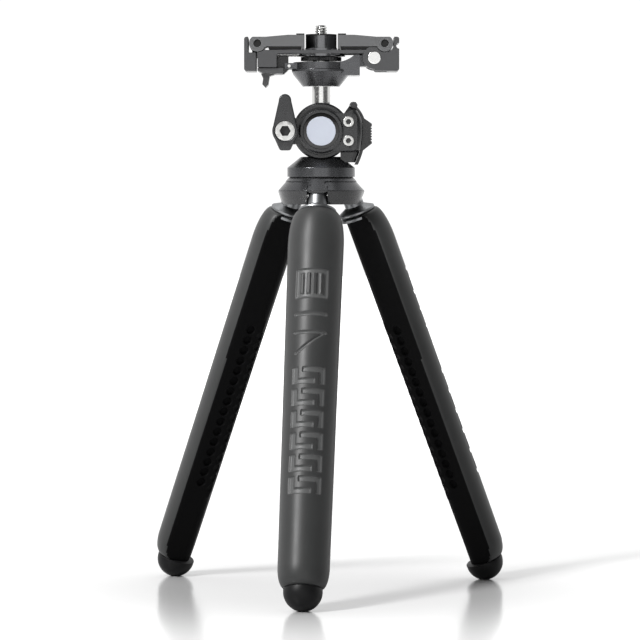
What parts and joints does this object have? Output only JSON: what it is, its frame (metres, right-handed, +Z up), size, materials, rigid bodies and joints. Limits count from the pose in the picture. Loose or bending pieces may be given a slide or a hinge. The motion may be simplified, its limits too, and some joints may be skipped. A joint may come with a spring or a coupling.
{
  "type": "flexible leg tripod",
  "caption": "Small tripod with bendable wire-cored rubber legs, a locking ball head and a flip-up camera plate with folding phone jaws.",
  "frame": {"origin": "on the floor under the hub's axis", "axes": "+Z up along the camera screw, +X to the right of the head's front, front of the head along -Y"},
  "size_m": [0.1847, 0.1711, 0.292],
  "materials": {
    "sleeve_rubber": "matte",
    "foot_rubber": "matte",
    "pad_rubber": "matte",
    "black_metal": "satin",
    "dark_metal": "satin anodised",
    "steel": "polished",
    "wire": "drawn",
    "nylon": "matte",
    "badge_black": "gloss",
    "badge_pale": "gloss",
    "washer_black": "matte"
  },
  "bodies": {
    "hub": {"hub_skirt": "black_metal", "hub_cap": "dark_metal", "leg_hinge_pins": "steel", "hub_washers": "washer_black"},
    "pan": {"pan_base": "dark_metal", "hub_bolt": "steel", "front_shell": "black_metal", "rear_shell": "black_metal", "ball_seat": "nylon", "shell_screws": "steel", "badge_ring": "badge_black", "badge_disc": "badge_pale", "lock_nut": "steel", "thumb_lock_pin": "steel"},
    "lock": {"lock_lever": "black_metal", "lock_screw": "steel"},
    "thumb": {"thumb_lock": "black_metal"},
    "ball": {"ball": "steel"},
    "head": {"ball_neck": "steel", "plate_base": "black_metal", "base_screw": "steel", "hinge_pin": "steel", "latch_pin": "steel", "latch_spring": "steel"},
    "latch": {"latch_lever": "dark_metal"},
    "plate": {"camera_plate": "dark_metal", "centre_pad": "pad_rubber", "right_jaw_pin": "black_metal", "carrier_springs": "steel"},
    "screw": {"camera_screw": "steel", "screw_wheel": "black_metal"},
    "carrier": {"left_carrier": "dark_metal", "left_jaw_pin": "black_metal"},
    "left_jaw": {"left_jaw": "dark_metal", "left_jaw_pads": "pad_rubber"},
    "right_jaw": {"right_jaw": "dark_metal", "right_jaw_pads": "pad_rubber"},
    "leg_1_upper": {"leg_1_stem": "dark_metal", "leg_1_wires": "wire", "leg_1_sleeve_upper": "sleeve_rubber", "leg_1_sleeve_bend": "sleeve_rubber"},
    "leg_1_lower": {"leg_1_sleeve_lower": "sleeve_rubber", "leg_1_foot": "foot_rubber"},
    "leg_2_upper": {"leg_2_stem": "dark_metal", "leg_2_wires": "wire", "leg_2_sleeve_upper": "sleeve_rubber", "leg_2_sleeve_bend": "sleeve_rubber"},
    "leg_2_lower": {"leg_2_sleeve_lower": "sleeve_rubber", "leg_2_foot": "foot_rubber"},
    "leg_3_upper": {"leg_3_stem": "dark_metal", "leg_3_wires": "wire", "leg_3_sleeve_upper": "sleeve_rubber", "leg_3_sleeve_bend": "sleeve_rubber"},
    "leg_3_lower": {"leg_3_sleeve_lower": "sleeve_rubber", "leg_3_foot": "foot_rubber"}
  },
  "joints": [
    {"name": "pan_turn", "type": "hinge", "parent": "hub", "child": "pan", "pos_m": [0, 0, 0.21379], "axis": [0, 0, 1], "continuous": true},
    {"name": "lock_turn", "type": "hinge", "parent": "pan", "child": "lock", "pos_m": [-0.0185, -0.016, 0.23729], "axis": [0, -1, 0], "range_deg": [0, 90]},
    {"name": "thumb_lock_swing", "type": "hinge", "parent": "pan", "child": "thumb", "pos_m": [0.0166, 0, 0.25089], "axis": [0, -1, 0], "range_deg": [0, 20], "stiffness_Nm_per_rad": 0.05, "springref_deg": -5.73},
    {"name": "ball_lean", "type": "hinge", "parent": "pan", "child": "ball", "pos_m": [0, 0, 0.23729], "axis": [0, 1, 0], "range_deg": [-30, 30]},
    {"name": "ball_spin", "type": "hinge", "parent": "ball", "child": "head", "pos_m": [0, 0, 0.23729], "axis": [0, 0, 1], "continuous": true},
    {"name": "latch_press", "type": "hinge", "parent": "head", "child": "latch", "pos_m": [-0.0165, 0, 0.27089], "axis": [0, -1, 0], "range_deg": [0, 6], "stiffness_Nm_per_rad": 0.05, "springref_deg": -5.73},
    {"name": "plate_flip", "type": "hinge", "parent": "head", "child": "plate", "pos_m": [0.0273, 0, 0.27499], "axis": [0, 1, 0], "range_deg": [0, 90]},
    {"name": "camera_screw_turn", "type": "hinge", "parent": "plate", "child": "screw", "pos_m": [0, 0, 0.27289], "axis": [0, 0, 1], "continuous": true},
    {"name": "carrier_slide", "type": "slide", "parent": "plate", "child": "carrier", "axis": [-1, 0, 0], "range_m": [0, 0.025], "stiffness_N_per_m": 60, "springref_m": -0.01, "deforming": ["carrier_springs"]},
    {"name": "left_jaw_flip", "type": "hinge", "parent": "carrier", "child": "left_jaw", "pos_m": [-0.03275, 0, 0.28229], "axis": [0, -1, 0], "range_deg": [0, 90]},
    {"name": "right_jaw_flip", "type": "hinge", "parent": "plate", "child": "right_jaw", "pos_m": [0.03275, 0, 0.28229], "axis": [0, 1, 0], "range_deg": [0, 90]},
    {"name": "leg_1_fold", "type": "hinge", "parent": "hub", "child": "leg_1_upper", "pos_m": [-0.00159, -0.01682, 0.20439], "axis": [0.9956, -0.0941, 0], "range_deg": [0, 22]},
    {"name": "leg_1_bend", "type": "hinge", "parent": "leg_1_upper", "child": "leg_1_lower", "pos_m": [-0.00586, -0.06195, 0.0922], "axis": [-0.9956, 0.0941, 0], "range_deg": [-45, 60], "deforming": ["leg_1_wires", "leg_1_sleeve_bend"]},
    {"name": "leg_2_fold", "type": "hinge", "parent": "hub", "child": "leg_2_upper", "pos_m": [0.01537, 0.00703, 0.20439], "axis": [-0.4163, 0.9092, 0], "range_deg": [0, 22]},
    {"name": "leg_2_bend", "type": "hinge", "parent": "leg_2_upper", "child": "leg_2_lower", "pos_m": [0.05658, 0.0259, 0.0922], "axis": [0.4163, -0.9092, 0], "range_deg": [-45, 60], "deforming": ["leg_2_wires", "leg_2_sleeve_bend"]},
    {"name": "leg_3_fold", "type": "hinge", "parent": "hub", "child": "leg_3_upper", "pos_m": [-0.01378, 0.00979, 0.20439], "axis": [-0.5793, -0.8151, 0], "range_deg": [0, 22]},
    {"name": "leg_3_bend", "type": "hinge", "parent": "leg_3_upper", "child": "leg_3_lower", "pos_m": [-0.05072, 0.03605, 0.0922], "axis": [0.5793, 0.8151, 0], "range_deg": [-45, 60], "deforming": ["leg_3_wires", "leg_3_sleeve_bend"]}
  ]
}
